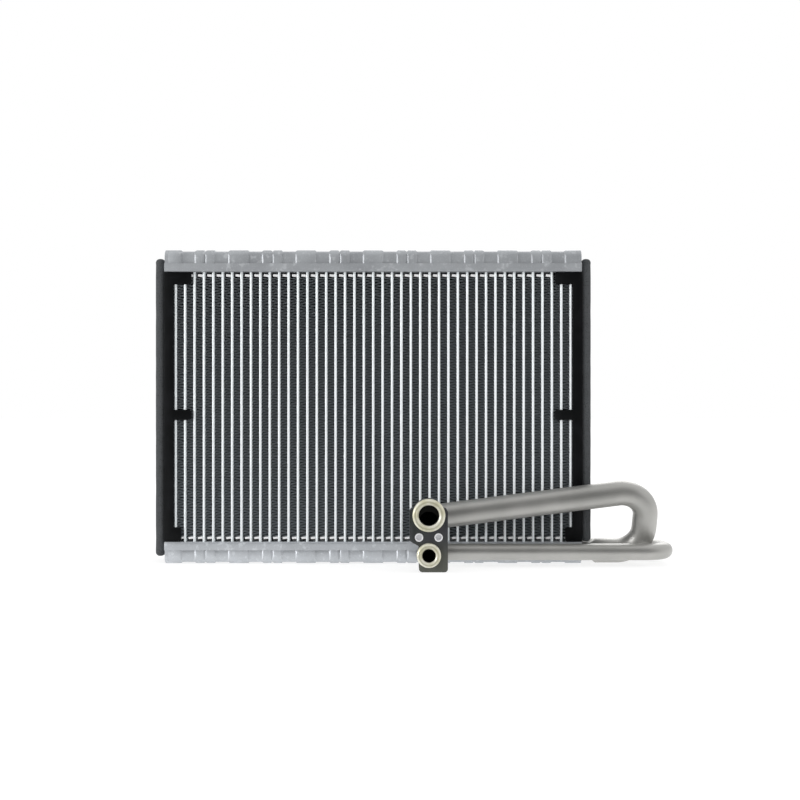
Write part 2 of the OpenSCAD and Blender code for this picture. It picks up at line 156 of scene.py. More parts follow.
class Tree:
    """A node tree on one kind of coordinates, with one method that adds any node to it."""

    def __init__(self, tree, coordinates="Object"):
        self.tree = tree
        self.place = self.add("ShaderNodeTexCoord", {}, output=coordinates)

    def plug(self, socket, value):
        """Links a signal to a socket, or sets its value. None leaves it as it is."""
        if isinstance(value, Signal):
            self.tree.links.new(value.socket, socket)
        elif value is not None:
            socket.default_value = (*value, 1) if socket.type == "RGBA" else value

    def add(self, kind, settings, *values, output=0, **named):
        """Adds a node: its settings first, then its sockets, in their order or by name."""
        node = self.tree.nodes.new(kind)
        for key, value in settings.items():
            setattr(node, key, value)
        for socket, value in zip(node.inputs, values):
            self.plug(socket, value)
        for name, value in named.items():
            self.plug(node.inputs[name.replace("_", " ")], value)
        return Signal(self, node.outputs[output])

    def along(self, axis):
        """The X, Y or Z of the place that is shaded."""
        return self.add("ShaderNodeSeparateXYZ", {}, self.place, output=axis)

    def is_ray(self, kind):
        """1 for Camera or Glossy rays, whichever is asked for, and 0 for all others."""
        return self.add("ShaderNodeLightPath", {}, output=f"Is {kind} Ray")

    def mix(self, factor, low, high):
        """The number low where factor is 0 and high where it is 1."""
        return self.add("ShaderNodeMix", {}, factor, None, low, high)

    def soft_step(self, value, start, end, low, high):
        """Eases from low to high while value goes from start to end."""
        return self.add("ShaderNodeMapRange", {"interpolation_type": "SMOOTHSTEP"},
                        value, start, end, low, high)


class Finish(Tree):
    """A material that reads the coordinates of the object it is on."""

    def __init__(self, name, roughness=0.5, metallic=0.0):
        self.material = bpy.data.materials.new(name)
        self.material.use_nodes = True
        super().__init__(self.material.node_tree)
        self.set(Roughness=roughness, Metallic=metallic)

    def set(self, **values):
        """Gives the shader's own sockets these values or signals."""
        for name, value in values.items():
            self.plug(self.tree.nodes["Principled BSDF"].inputs[name.replace("_", " ")], value)

    def noise(self, size, detail=2.0, place=None):
        """Cloudy noise whose spots are about this size, in metres."""
        return self.add("ShaderNodeTexNoise", {}, Vector=place or self.place, Scale=0.5 / size,
                        Detail=detail)

    def stretched(self, x, y, z, shift=(0, 0, 0)):
        """The coordinates scaled along each axis and then shifted."""
        return self.add("ShaderNodeMapping", {}, self.place, Location=shift, Scale=(x, y, z))

    def blend(self, factor, low, high):
        """The colour low where factor is 0 and high where it is 1."""
        number_and_vector_sockets = [None] * 5
        return self.add("ShaderNodeMix", {"data_type": "RGBA"},
                        factor, *number_and_vector_sockets, low, high, output=2)

    def bump(self, height, depth):
        """Raises the surface by depth metres where height is 1."""
        self.set(Normal=self.add("ShaderNodeBump", {}, Strength=1.0, Distance=depth, Height=height))
        return self


def paint(piece, *finishes):
    """Gives a piece its finish, and a second one for its inner faces where it has one."""
    piece.data.materials.clear()
    for finish in finishes:
        piece.data.materials.append(finish.material)


def repaint(node, finish):
    """Gives a CAD node, which keeps its mesh, a better finish."""
    for slot in nodes[node].material_slots:
        slot.material = finish.material


print("Shader helpers:", Signal.__name__, Tree.__name__, Finish.__name__)

# %% [markdown]
# The tanks' brazed sheet
#
# The tanks are pressed from sheet and brazed in an oven, which leaves a dull skin with clouds
# and pale flux stains. A flat picture of such sheet would have to be wrapped round every rib,
# so noise on the object's own coordinates is used instead: it fits any shape. Clouds are
# about 9 mm wide, stains 2 mm and grain half a millimetre, as on the real tanks. The upper
# tank is rougher and a little cooler. The lower one's colours are painted paler, as painted
# light from the floor below, and it has more sheen, enough to light up its ribs.


# %% Brazed sheet of the tanks
def brazed_sheet(name, dull, clean, stain, metallic, roughness):
    """Aluminium sheet out of the oven: dull and clean clouds, grain and flux stains."""
    finish = Finish(name, metallic=metallic)
    cloud = finish.noise(9 * MM, detail=4)
    grain = finish.noise(0.5 * MM, detail=2)
    spots = finish.noise(2.2 * MM, detail=3).above(0.62, 0.06)
    colour = finish.blend(cloud.above(0.5, 0.4), dull, clean)
    colour = finish.blend(spots * 0.5 + grain.above(0.6, 0.1) * 0.25, colour, stain)
    finish.set(Base_Color=colour, Roughness=roughness + cloud * 0.2 + spots * 0.15)
    return finish.bump(grain * 0.6 + cloud * 0.4, 0.06 * MM)


upper_sheet = brazed_sheet(
    "upper_tank_sheet", metallic=0.35, roughness=0.38,
    dull=(0.37, 0.385, 0.405), clean=(0.45, 0.47, 0.49), stain=(0.6, 0.62, 0.64))
# Painted light: the lower tank's colours are paler than the upper tank's, for the light from the floor
# below.
lower_sheet = brazed_sheet(
    "lower_tank_sheet", metallic=0.5, roughness=0.27,
    dull=(0.48, 0.503, 0.527), clean=(0.56, 0.583, 0.613), stain=(0.74, 0.77, 0.8))
print("Brazed sheets:", upper_sheet.material.name, lower_sheet.material.name)

# %% [markdown]
# The finishes of the core
#
# A flat tube is extruded, so its bright nose has fine lines along its length. A wave would
# space them too evenly, so they are noise that is stretched fifty times along Z. Inside the
# core the fin sheet is painted nearly black, as painted shade of its deep narrow gaps, and only
# its edge at the front and the back is a lighter grey. The same sheet has both, so the finish
# asks how far a point is from the core's mid-depth. The side plates show rolling lines.

# %% Tubes, fins and side plates
tube_finish = Finish("extruded_tube", metallic=0.05)
draw_lines = tube_finish.noise(0.4 * MM, place=tube_finish.stretched(1, 1, 0.02))
tube_finish.set(
    Base_Color=tube_finish.blend(draw_lines, (0.91, 0.955, 0.975), (0.945, 0.985, 0.995)),
    Roughness=0.3 + draw_lines * 0.15)
tube_finish.bump(draw_lines, 0.02 * MM)

PAINTED_SHADE_DEPTH = 18.9 * MM  # from the mid-depth to where the painted shade inside the core ends at the lighter edge
fin_finish = Finish("fin_in_painted_shade", metallic=0.2)
fleck = fin_finish.noise(0.9 * MM, detail=3)
# Painted shade: inside the core the fin sheet is near black in place of the shade deep between the
# fins, and only the front and back edge is lighter grey.
unshaded_edge = abs(fin_finish.along("Y")).above(PAINTED_SHADE_DEPTH, 1.0 * MM)
painted_shade_inside = fin_finish.blend(fleck.above(0.55, 0.2), (0.013, 0.0155, 0.018), (0.037, 0.043, 0.047))
fin_finish.set(Base_Color=fin_finish.blend(unshaded_edge, painted_shade_inside, (0.31, 0.345, 0.37)))

fin_end_finish = Finish("bare_fin_end", roughness=0.4, metallic=0.05)
wear = fin_end_finish.noise(0.8 * MM)
fin_end_finish.set(Base_Color=fin_end_finish.blend(wear, (0.9, 0.9, 0.9), (0.98, 0.98, 0.98)))

plate_finish = Finish("mill_sheet", metallic=0.5)
roll_lines = plate_finish.noise(0.5 * MM, place=plate_finish.stretched(1, 1, 0.03))
plate_finish.set(
    Base_Color=plate_finish.blend(roll_lines, (0.5, 0.5, 0.51), (0.66, 0.66, 0.67)),
    Roughness=0.35 + roll_lines * 0.2)
plate_finish.bump(roll_lines, 0.02 * MM)
for finish in (tube_finish, fin_finish, fin_end_finish, plate_finish):
    print("Finish of the core:", finish.material.name)

# %% [markdown]
# Black plastic and foam
#
# The side covers are moulded with a fine leather grain and are rubbed a little in handling.
# The seals are closed-cell foam, whose cut cells are small pits with dust in some of them. A
# Voronoi texture gives round cells of about a millimetre, which plain noise wouldn't.

# %% Plastic covers and foam
cover_finish = Finish("moulded_black")
leather_grain = cover_finish.noise(0.35 * MM, detail=3)
rub = cover_finish.noise(6 * MM, detail=3)
cover_finish.set(
    Base_Color=cover_finish.blend(rub.above(0.6, 0.3), (0.003, 0.0035, 0.004), (0.007, 0.0075, 0.009)),
    Roughness=0.42 + rub * 0.2, Specular_IOR_Level=0.14)
cover_finish.bump(leather_grain, 0.05 * MM)

CELLS_PER_METRE = 900.0
foam_finish = Finish("closed_cell_foam", roughness=0.85)
pores = foam_finish.add("ShaderNodeTexVoronoi", {}, Vector=foam_finish.place, Scale=CELLS_PER_METRE)
dust = foam_finish.noise(5 * MM, detail=3)
dusty_pores = pores.above(0.25, 0.3) * (0.4 + dust * 0.6)
foam_finish.set(
    Base_Color=foam_finish.blend(dusty_pores, (0.03, 0.032, 0.034), (0.087, 0.092, 0.097)),
    Specular_IOR_Level=0.35)
foam_finish.bump(pores, 0.15 * MM)
print("Black finishes:", cover_finish.material.name, foam_finish.material.name)

# %% [markdown]
# The pipes, the block and the bores
#
# The pipes are aluminium too, hazed by the oven and scuffed along their length. The block has
# a dark coating whose colour turns lighter and warmer towards the bottom. Two materials would
# meet in a hard line, so one finish blends both by a soft step over its height. The bores are
# painted nearly black, as painted shade, and the two inserts are bright.

# %% Pipes, block, bores and inserts
pipe_finish = Finish("brazed_pipe", metallic=0.75)
haze = pipe_finish.noise(14 * MM, detail=4)
scuff = pipe_finish.noise(0.8 * MM, detail=3, place=pipe_finish.stretched(0.15, 1, 1))
pipe_finish.set(
    Base_Color=pipe_finish.blend(haze.above(0.5, 0.5), (0.37, 0.368, 0.352), (0.49, 0.485, 0.465)),
    Roughness=0.33 + haze * 0.12 + scuff * 0.1)
pipe_finish.bump(scuff, 0.03 * MM)

block_finish = Finish("dark_coated_block", metallic=0.2)
shot = block_finish.noise(0.6 * MM, detail=3)
tint = block_finish.noise(7 * MM, detail=2)
# The colour turns lighter and warmer towards the bottom of the block.
upper_part = block_finish.along("Z").above(17 * MM, 14 * MM)
coating = block_finish.blend(tint.above(0.5, 0.4), (0.026, 0.032, 0.029), (0.05, 0.047, 0.058))
block_finish.set(
    Base_Color=block_finish.blend(upper_part, (0.088, 0.092, 0.078), coating),
    Roughness=0.4 + shot * 0.2)
block_finish.bump(shot, 0.04 * MM)

# Painted shade: the inner walls of the bores and pipes are painted nearly black in place of the shade
# deep inside them.
bore_painted_shade = Finish("bore_in_painted_shade", roughness=0.7, metallic=0.1)
bore_painted_shade.set(Base_Color=(0.014, 0.013, 0.011), Specular_IOR_Level=0.2)

insert_finish = Finish("bright_insert", roughness=0.3, metallic=0.1)
insert_finish.set(Base_Color=(0.96, 0.96, 0.98))
for finish in (pipe_finish, block_finish, bore_painted_shade, insert_finish):
    print("Finish of the pipes' end:", finish.material.name)

# %% [markdown]
# The turned sleeves' metal
#
# Both ports have a sleeve that is turned on a lathe and then passivated, which tints it pale
# yellow. The tool leaves fine rings, and there is one wider groove, whose shade is painted
# into the colour as a dark olive ring. Modelled rings would need thousands of faces, so the
# finish takes the distance from the port's axis, with Y scaled to nothing, and makes a sine
# of it.

# %% Turned metal
RING_PITCH = 0.45 * MM
GROOVE_WIDTH = 0.9 * MM


def turned_finish(name, centre, groove_radius):
    """Pale passivated metal with a lathe's rings and one groove, in painted shade, round a port's
    axis.
    """
    finish = Finish(name, metallic=0.35)
    flat = finish.stretched(1, 0, 1, shift=(-centre.x, 0, -centre.z))
    from_axis = finish.add("ShaderNodeVectorMath", {"operation": "LENGTH"}, flat, output="Value")
    rings = (from_axis * (2 * math.pi / RING_PITCH)).sine() * 0.5 + 0.5
    patch = finish.noise(3 * MM, detail=3)
    groove = (1 - abs(from_axis - groove_radius) / GROOVE_WIDTH).at_least(0)
    colour = finish.blend(patch.above(0.5, 0.25), (0.7, 0.675, 0.5), (0.9, 0.885, 0.78))
    # Painted shade: the groove is darkened to olive in the colour as well as pressed in by the bump.
    colour = finish.blend(rings * 0.15 + groove * 0.6, colour, (0.36, 0.34, 0.2))
    finish.set(Base_Color=colour, Roughness=0.32 + rings * 0.1)
    return finish.bump(rings * 0.1 - groove, 0.3 * MM)


print("Turned metal: rings every %.2f mm" % (RING_PITCH / MM))

# %% [markdown]
# Working as by hand
#
# Operators act on whatever is selected, so each step starts from a clean selection and picks
# its vertices in code by their place. These helpers hold that habit.


# %% Modelling helpers
CLOSE = 0.1 * MM  # how far off a level or a wall a vertex or a face may lie and still count


def clear():
    """Leaves edit mode with nothing selected."""
    if bpy.context.object and bpy.context.object.mode != "OBJECT":
        bpy.ops.object.mode_set(mode="OBJECT")
    bpy.ops.object.select_all(action="DESELECT")


def only(piece):
    """Makes a piece the only selected one."""
    clear()
    piece.select_set(True)
    bpy.context.view_layer.objects.active = piece


def started(name):
    """Names the primitive that was just added and settles its place into its mesh."""
    piece = bpy.context.object
    piece.name = piece.data.name = name
    bpy.ops.object.transform_apply(location=True, rotation=True, scale=True)
    return piece


def pick(piece, wanted):
    """Selects in edit mode the vertices whose place passes the test."""
    only(piece)
    bpy.ops.object.mode_set(mode="EDIT")
    bpy.ops.mesh.select_mode(type="VERT")
    bpy.ops.mesh.select_all(action="DESELECT")
    bpy.ops.object.mode_set(mode="OBJECT")
    for vertex in piece.data.vertices:
        vertex.select = bool(wanted(vertex.co))
    bpy.ops.object.mode_set(mode="EDIT")


def pick_all(piece):
    """Selects the whole piece in edit mode."""
    pick(piece, lambda p: True)


def apply(piece, kind, **settings):
    """Adds a modifier with these settings and applies it."""
    only(piece)
    modifier = piece.modifiers.new(kind.title(), kind)
    for key, value in settings.items():
        setattr(modifier, key, value)
    bpy.ops.object.modifier_apply(modifier=modifier.name)


def finished(piece, *replaced, slot, finish=None, smooth=None):
    """Hides the CAD nodes that a piece replaces, lets it ride on the core and gives it its finish.

    Faces that meet at a smaller angle than smooth, in degrees, are shaded as one round face.
    """
    only(piece)
    if smooth is not None:
        bpy.ops.object.shade_smooth_by_angle(angle=math.radians(smooth))
    if finish:
        paint(piece, finish)
    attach(piece, "root")
    if replaced:
        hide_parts(*replaced)
    piece.data.calc_loop_triangles()
    print(piece.name, len(piece.data.loop_triangles), "triangles")


print("Modelling helpers are ready")

# %% [markdown]
# The folded fins
#
# A fin strip is thin sheet folded to and fro 78 times, brazed to a tube at every fold. The CAD
# strip has the same outline with far fewer folds. A picture of folds on a flat face would look
# right from the front alone. So a flat grid stands up in the gap, and every second pair of its
# rows moves to the other tube. The sheet of a real fin is also cut into slanting louvres a
# millimetre wide, which block the straight view through the core. A shallow wave along the
# depth does the same with a few faces. Solidify gives the sheet its thickness and Array fills
# the gaps of one half of the core, because a piece has to stay under 200,000 triangles.

# %% Fin strips
TUBE_COUNT = 43
TUBE_PITCH = 6.95 * MM
FIN_WAVES = 78
FIN_ROWS = 4 * FIN_WAVES  # two rows lie at one tube and two at the other
FIN_PANELS = 4  # across the depth, each slanting the other way than the one before
FIN_SLANT = 2.0 * MM
FIN_SHEET = 0.2 * MM
HALF_OF_GAPS = (TUBE_COUNT + 1) // 2
fins_low, fins_high = box("fin_packs")
fin_depth = fins_high.y - fins_low.y
fin_width = (fins_high.x - fins_low.x) - TUBE_COUNT * TUBE_PITCH


def along_gaps(piece, gaps):
    """Repeats a piece at the tubes' pitch, once for each gap."""
    apply(piece, "ARRAY", count=gaps, use_relative_offset=False, use_constant_offset=True,
          constant_offset_displace=(TUBE_PITCH, 0, 0))


def fin_strips(name, first_gap):
    """Folds the strip of one gap and repeats it over half of the gaps."""
    height = fins_high.z - fins_low.z - FIN_SLANT
    left = fins_low.x + first_gap * TUBE_PITCH
    middle = (fins_low + fins_high) / 2
    clear()
    bpy.ops.mesh.primitive_grid_add(
        x_subdivisions=FIN_PANELS, y_subdivisions=FIN_ROWS, size=1,
        location=(left + FIN_SHEET, middle.y, middle.z),
        rotation=(math.radians(90), 0, math.radians(90)))
    bpy.context.object.scale = (fin_depth, height, 1)
    strip = started(name)
    row_height = height / FIN_ROWS
    row_zero = min(vertex.co.z for vertex in strip.data.vertices)
    pick(strip, lambda p: round((p.z - row_zero) / row_height) % 4 in (2, 3))
    bpy.ops.transform.translate(value=(fin_width - 2 * FIN_SHEET, 0, 0))
    panel = fin_depth / FIN_PANELS
    for odd, lift in ((1, FIN_SLANT / 2), (0, -FIN_SLANT / 2)):
        pick(strip, lambda p: round((p.y - fins_low.y) / panel) % 2 == odd)
        bpy.ops.transform.translate(value=(0, 0, lift))
    apply(strip, "SOLIDIFY", thickness=FIN_SHEET, offset=0)
    along_gaps(strip, HALF_OF_GAPS)
    finished(strip, "fin_packs", slot="fin", finish=fin_finish)


fin_strips("left_fin_strips", first_gap=0)
fin_strips("right_fin_strips", first_gap=HALF_OF_GAPS)

# %% [markdown]
# The cut ends of the fins
#
# At its top and bottom each strip ends in half a fold. It lies almost level between the tubes,
# bare where the strip was cut, so it catches the light as a short bright dash beside each
# tube. The last row of the grid could be bent over, but it would keep the strip's painted shade.
# A small box that is tilted a little, with rounded edges, is a piece of its own.

# %% Fin end folds
END_WIDTH = 3.5 * MM
END_HEIGHT = 1.8 * MM
END_TILT = 6
END_ROUND = 0.3 * MM
LOWER_END_LIFT = 0.2 * MM


def fin_ends(name, height, tilt):
    """Makes one end fold beside its tube and repeats it over all the gaps."""
    clear()
    bpy.ops.mesh.primitive_cube_add(
        size=1, rotation=(0, math.radians(tilt), 0),
        location=(fins_low.x + fin_width - END_WIDTH / 2, (fins_low.y + fins_high.y) / 2, height))
    bpy.context.object.scale = (END_WIDTH, fin_depth, END_HEIGHT)
    fold = started(name)
    pick_all(fold)
    bpy.ops.mesh.bevel(offset=END_ROUND, segments=2, affect="EDGES")
    along_gaps(fold, TUBE_COUNT + 1)
    finished(fold, slot="fin", finish=fin_end_finish)


fin_ends("upper_fin_ends", fins_high.z, END_TILT)
fin_ends("lower_fin_ends", fins_low.z + LOWER_END_LIFT, -END_TILT)

# %% [markdown]
# The bent pipes
#
# Each pipe is one drawn tube with three bends. A curve with a round bevel would be quick, but
# its bends aren't true arcs. So the pipe starts as a ring at the tank's cap, and as at the
# bending bench it is fed forward by an extrusion and then swung round a bend by a spin. The
# wall comes last, by Solidify. The corners of both routes are those of the CAD pipes.
#
# An extrusion keeps its vertices in order, but its faces come out in another order each time
# the script runs, and after Solidify the last digits of the places differ too. So the faces
# are sorted before the wall is added, and every run gives the same pipe.

# %% Pipe routes
TIP_IN_TANK_X = 150.9 * MM
TANK_PORT_Y = 11.4 * MM  # of the back chamber. The front one's lies as far the other way
TANK_PORT_Z = 8.8 * MM
BLOCK_X = 40 * MM  # where both pipes turn forward into the block
TIP_IN_BLOCK_Y = -53.1 * MM
SUCTION_FAR_X = 200 * MM
SUCTION_BLOCK_Z = 35.5 * MM
SUCTION_RISE = math.radians(7.3)  # of its long run, from the block up to the bend


def route(port_y, far_x, far_z, run_y, block_z):
    """A pipe's corners: out of the tank, forward past its end, along its front, into the block."""
    return [Vector(corner) for corner in (
        (TIP_IN_TANK_X, port_y, TANK_PORT_Z), (far_x, port_y, TANK_PORT_Z),
        (far_x, run_y, far_z), (BLOCK_X, run_y, block_z), (BLOCK_X, TIP_IN_BLOCK_Y, block_z))]


SUCTION = {
    "od": 18 * MM, "wall": 1.5 * MM, "neck": 12 * MM, "radii": (19.5 * MM, 19.5 * MM, 16 * MM),
    "route": route(
        port_y=-TANK_PORT_Y, run_y=-32 * MM, far_x=SUCTION_FAR_X, block_z=SUCTION_BLOCK_Z,
        far_z=SUCTION_BLOCK_Z + (SUCTION_FAR_X - BLOCK_X) * math.tan(SUCTION_RISE)),
}
LIQUID = {
    "od": 12 * MM, "wall": 1.2 * MM, "neck": 12 * MM, "radii": (20 * MM, 20 * MM, 13 * MM),
    "route": route(
        port_y=TANK_PORT_Y, run_y=-35 * MM, far_x=215.5 * MM, far_z=11 * MM, block_z=11 * MM),
}
NECK_LENGTH = 10.2 * MM  # the part that enters the tank's cap, before the cone to the full size
NECK_CONE = 4 * MM
PIPE_SIDES = 48
BEND_STEPS = 16
RING_MERGE = 0.001 * MM  # vertices that are closer than this are one
print("Pipe routes with", len(SUCTION["route"]), "and", len(LIQUID["route"]), "corners")


# %% Faces in order
def sort_faces(piece):
    """Rebuilds a mesh of quads with its faces in the order of their vertices.

    A quad is turned by half at most, so that its diagonal stays and it splits as before.
    """
    mesh = piece.data
    corners = [tuple(vertex.co) for vertex in mesh.vertices]
    faces = []
    for quad in mesh.polygons:
        first, second, third, fourth = quad.vertices
        if first < third:
            faces.append((first, second, third, fourth))
        else:
            faces.append((third, fourth, first, second))
    mesh.clear_geometry()
    mesh.from_pydata(corners, [], sorted(faces))
    print(piece.name, len(faces), "faces in order")


# %% Bent pipes
def feed(along):
    """Extrudes the open ring of a pipe forward."""
    bpy.ops.mesh.extrude_region_move(TRANSFORM_OT_translate={"value": along})


def bent_pipe(name, pipe):
    """Feeds and bends a ring along a pipe's route, then gives it a wall with its inside in painted
    shade.
    """
    corners = pipe["route"]
    ahead = (corners[1] - corners[0]).normalized()
    clear()
    bpy.ops.mesh.primitive_circle_add(
        vertices=PIPE_SIDES, radius=pipe["neck"] / 2, fill_type="NOTHING",
        location=corners[0], rotation=ahead.to_track_quat("Z", "Y").to_euler())
    tube = started(name)
    pick_all(tube)
    feed(ahead * NECK_LENGTH)
    feed(ahead * NECK_CONE)
    here = corners[0] + ahead * (NECK_LENGTH + NECK_CONE)
    swell = pipe["od"] / pipe["neck"]
    bpy.ops.transform.resize(value=(swell, swell, swell), center_override=here)
    for corner, following, radius in zip(corners[1:-1], corners[2:], pipe["radii"]):
        onward = (following - corner).normalized()
        bend = ahead.angle(onward)
        cut_back = radius * math.tan(bend / 2)
        start = corner - ahead * cut_back
        inward = (onward - ahead * onward.dot(ahead)).normalized()
        feed(start - here)
        bpy.ops.mesh.spin(steps=BEND_STEPS, angle=-bend, center=start + inward * radius,
                          axis=ahead.cross(inward))
        here = corner + onward * cut_back
        ahead = onward
    feed(corners[-1] - here)
    bpy.ops.mesh.select_all(action="SELECT")
    bpy.ops.mesh.remove_doubles(threshold=RING_MERGE)
    bpy.ops.mesh.normals_make_consistent(inside=False)
    bpy.ops.object.mode_set(mode="OBJECT")
    sort_faces(tube)
    paint(tube, pipe_finish, bore_painted_shade)
    apply(tube, "SOLIDIFY", thickness=pipe["wall"], offset=-1, material_offset=1)
    return tube


finished(bent_pipe("drawn_suction_pipe", SUCTION), "suction_pipe", slot="pipe", smooth=40)
finished(bent_pipe("drawn_liquid_pipe", LIQUID), "liquid_pipe", slot="pipe", smooth=40)

# %% [markdown]
# The foam seals
#
# A strip of closed-cell foam is glued to each end, so that no air slips past the core. Foam is
# cut, not moulded, so its edges are soft and its faces wander a little. Cloth simulation could
# plump it, but foam hardly gives here. A box is cut finely across, its edges are rounded, and
# every second cut of its outer face is moved in by less than 0.2 mm.

# %% Foam strips
FOAM_CORNER = 3.0 * MM
FOAM_EDGE = 0.7 * MM
FOAM_CUTS = 24
FOAM_WANDER = 0.08 * MM
WANDER_STEP = 1.7  # radians from one cut to the next, so that no two dips are alike


def foam_strip(name, node):
    """A padded strip with round ends and an outer face that isn't quite flat."""
    low, high = box(node)
    centre = (low + high) / 2

    def cut_height(cut):
        return low.z + (high.z - low.z) * (cut + 0.5) / FOAM_CUTS

    clear()
    bpy.ops.mesh.primitive_cube_add(size=1, location=centre)
    bpy.context.object.scale = high - low
    strip = started(name)
    pick(strip, lambda p: False)
    bpy.ops.object.mode_set(mode="OBJECT")
    for edge in strip.data.edges:
        start, end = (strip.data.vertices[i].co for i in edge.vertices)
        edge.select = abs(start.y - end.y) > abs(start.x - end.x) + abs(start.z - end.z)
    bpy.ops.object.mode_set(mode="EDIT")
    bpy.ops.mesh.select_mode(type="EDGE")
    bpy.ops.mesh.bevel(offset=FOAM_CORNER, segments=6, affect="EDGES")
    bpy.ops.object.mode_set(mode="OBJECT")
    apply(strip, "BEVEL", width=FOAM_EDGE, segments=2, limit_method="ANGLE",
          angle_limit=math.radians(60))
    for cut in range(FOAM_CUTS):
        pick_all(strip)
        bpy.ops.mesh.bisect(plane_co=(0, 0, cut_height(cut)), plane_no=(0, 0, 1))
    bpy.ops.object.mode_set(mode="OBJECT")
    outside = 1 if centre.x > 0 else -1
    for cut in range(1, FOAM_CUTS, 2):
        level = cut_height(cut)
        pick(strip, lambda p: abs(p.z - level) < CLOSE and (p.x - centre.x) * outside > 0)
        dip = FOAM_WANDER * (1 + math.sin(cut * WANDER_STEP))
        bpy.ops.transform.translate(value=(-outside * dip, 0, 0))
    bpy.ops.object.mode_set(mode="OBJECT")
    finished(strip, node, slot="seal", finish=foam_finish, smooth=50)


foam_strip("left_foam_strip", "left_seal_strip")
foam_strip("right_foam_strip", "right_seal_strip")

# %% [markdown]
# Pieces with softened edges
#
# Moulded plastic, stamped sheet and machined metal never end in a knife edge. They could be
# modelled anew, but their CAD solids already have the right form. So a copy is taken, its loose
# triangles are joined into whole faces again, and a narrow bevel runs round every sharp edge
# to catch the light. A lathe leaves the sharpest edges and a mould softer ones. The edges of
# stamped and of blasted metal are the roundest, and they are what makes the ribs shine.


# %% Softened copies
EDGES = {"turned": 0.2 * MM, "moulded": 0.25 * MM, "stamped": 0.35 * MM, "blasted": 0.35 * MM}
CORNER_MERGE = 0.0005 * MM  # between corners of loose triangles that are one corner of the solid
FLAT_WITHIN = math.radians(0.5)
SHARP_FROM = math.radians(35)


def softened(name, node, width):
    """A copy of a CAD node with whole faces and a bevel of this width on its sharp edges."""
    only(nodes[node])
    bpy.ops.object.duplicate()
    piece = bpy.context.object
    bpy.ops.object.parent_clear(type="CLEAR_KEEP_TRANSFORM")
    piece.name = piece.data.name = name
    pick_all(piece)
    bpy.ops.mesh.remove_doubles(threshold=CORNER_MERGE)
    bpy.ops.mesh.dissolve_limited(angle_limit=FLAT_WITHIN)
    bpy.ops.object.mode_set(mode="OBJECT")
    apply(piece, "BEVEL", width=width, segments=2, limit_method="ANGLE", angle_limit=SHARP_FROM,
          use_clamp_overlap=True)
    return piece


print("Softened edges in mm:", {kind: round(width / MM, 2) for kind, width in EDGES.items()})

# %% Moulded and stamped covers
for side in ("left", "right"):
    cover = softened(side + "_moulded_cover", side + "_side_cover", EDGES["moulded"])
    finished(cover, side + "_side_cover", slot="side_cover", finish=cover_finish, smooth=35)
for tank, finish in (("upper", upper_sheet), ("lower", lower_sheet)):
    cover = softened(tank + "_stamped_cover", tank + "_tank_cover", EDGES["stamped"])
    finished(cover, tank + "_tank_cover", slot=tank + "_tank", finish=finish, smooth=30)

# %% [markdown]
# The block and its sleeves
#
# The block is machined from a bar, blasted and coated. The pipes enter it at the back, and a
# sleeve sits in each port at the front, a little higher than its pipe. The bores could be
# blocked by a black disc, but one can look into them from the side. So the inner walls get a
# second finish, painted nearly black as painted shade. In the block they are found by their
# place: between the front and the back face, and near the axis of a pipe or a sleeve. In a
# sleeve they are the faces that look at its axis, from as far as its bore's radius.

# %% Block
BORE_REACH = 9.4 * MM  # a little more than the radius of the widest seat
FACE_MARGIN = 0.95 * MM
sleeve_boxes = {port: box(port + "_port_sleeve") for port in ("suction", "liquid")}
sleeve_centres = {port: (low + high) / 2 for port, (low, high) in sleeve_boxes.items()}
bore_axes = [pipe["route"][-1] for pipe in (SUCTION, LIQUID)]
bore_axes.extend(sleeve_centres.values())
block_low, block_high = box("connection_block")
block = softened("coated_block", "connection_block", EDGES["blasted"])
paint(block, block_finish, bore_painted_shade)
inner_walls = 0
for face in block.data.polygons:
    at = face.center
    from_bore = min(math.hypot(at.x - axis.x, at.z - axis.z) for axis in bore_axes)
    within = block_low.y + FACE_MARGIN < at.y < block_high.y - FACE_MARGIN
    if within and from_bore < BORE_REACH:
        face.material_index = 1
        inner_walls += 1
finished(block, "connection_block", slot="block", smooth=35)
print("Dark inner walls of the block:", inner_walls)

# %% Sleeves
BORES = {"suction": 14.4 * MM, "liquid": 9.4 * MM}
LEVEL_WITH_AXIS = 0.3  # the most that the normal of a bore's wall leans towards the front
for port, bore in BORES.items():
    low, high = sleeve_boxes[port]
    centre = sleeve_centres[port]
    groove_radius = (high.x - low.x + bore) / 4  # half way between the bore and the rim
    sleeve = softened(port + "_turned_sleeve", port + "_port_sleeve", EDGES["turned"])
    paint(sleeve, turned_finish(port + "_sleeve_metal", centre, groove_radius), bore_painted_shade)
    for face in sleeve.data.polygons:
        from_axis = math.hypot(face.center.x - centre.x, face.center.z - centre.z)
        if abs(face.normal.y) < LEVEL_WITH_AXIS and from_axis < bore / 2 + CLOSE:
            face.material_index = 1
    finished(sleeve, port + "_port_sleeve", slot="sleeve", smooth=35)

# %% [markdown]
# The CAD pieces that stay
#
# The tube plates, the caps, the baffles, the tubes, the side plates and the inserts are plain
# sheet or plain bar. Nothing in the photograph shows more than their solids have, so they keep
# their meshes and only get the finish of what they are made of.

# %% CAD nodes that stay
STAYING = {
    upper_sheet: ("upper_tube_plate", "upper_left_cap", "upper_right_cap", "upper_baffles"),
    # The lower tank's pieces take its sheet, painted paler as painted light from the floor below.
    lower_sheet: ("lower_tube_plate", "lower_left_cap", "lower_right_cap", "lower_baffles"),
    tube_finish: ("front_tubes", "rear_tubes"),
    plate_finish: ("left_side_plate", "right_side_plate"),
    insert_finish: ("threaded_inserts",),
}
for finish, staying in STAYING.items():
    for node in staying:
        repaint(node, finish)
    print(finish.material.name, "on", ", ".join(staying))

